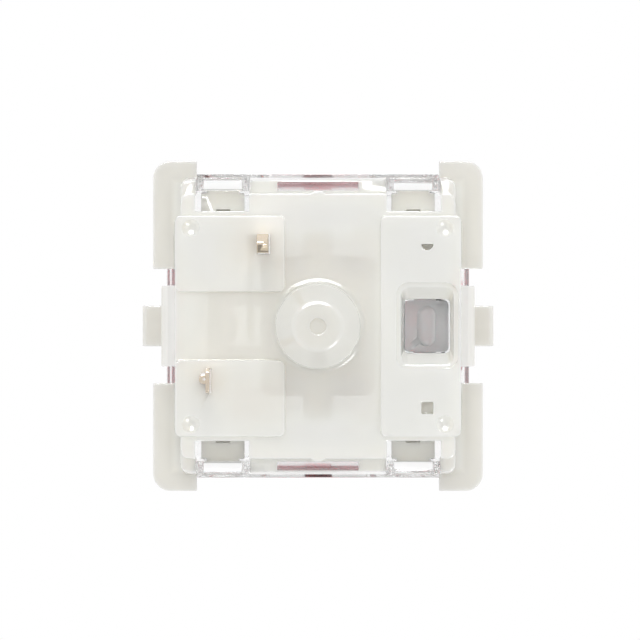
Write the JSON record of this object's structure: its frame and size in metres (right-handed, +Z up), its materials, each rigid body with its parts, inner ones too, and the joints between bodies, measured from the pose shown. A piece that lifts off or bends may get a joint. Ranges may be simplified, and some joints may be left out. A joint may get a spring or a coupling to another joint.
{
  "type": "keyboard switch",
  "caption": "Plate-mounted mechanical keyboard switch: milky lower shell, clear upper shell with looped latches, cross stem on a coil spring, leaf contacts and a light guide.",
  "frame": {"origin": "centre of the plate cut-out, at the height of the plate's top face, on which the flange rests", "axes": "+Z up the stem, +Y towards the contact side, so that the light window is at -Y and the latches are at +X and -X"},
  "size_m": [0.0156, 0.0166, 0.0185],
  "materials": {
    "milky_plastic": "milky, slightly warm off-white, light shines through",
    "clear_plastic": "crystal clear, polished",
    "pink_plastic": "satin pink",
    "spring_steel": "drawn wire",
    "contact_alloy": "stamped, tinned at the pins",
    "crosspoint_gold": "bright",
    "lens_plastic": "clear, slightly grey, polished"
  },
  "bodies": {
    "housing": {"bottom_housing": "milky_plastic", "top_housing": "clear_plastic", "light_guide": "lens_plastic", "return_spring": "spring_steel", "static_contact": "contact_alloy", "moving_contact": "contact_alloy", "static_crosspoint": "crosspoint_gold", "moving_crosspoint": "crosspoint_gold"},
    "stem": {"stem": "pink_plastic"}
  },
  "joints": [
    {"name": "stem_slide", "type": "slide", "parent": "housing", "child": "stem", "axis": [0, 0, -1], "range_m": [0, 0.004], "stiffness_N_per_m": 75, "deforming": ["return_spring"]}
  ]
}
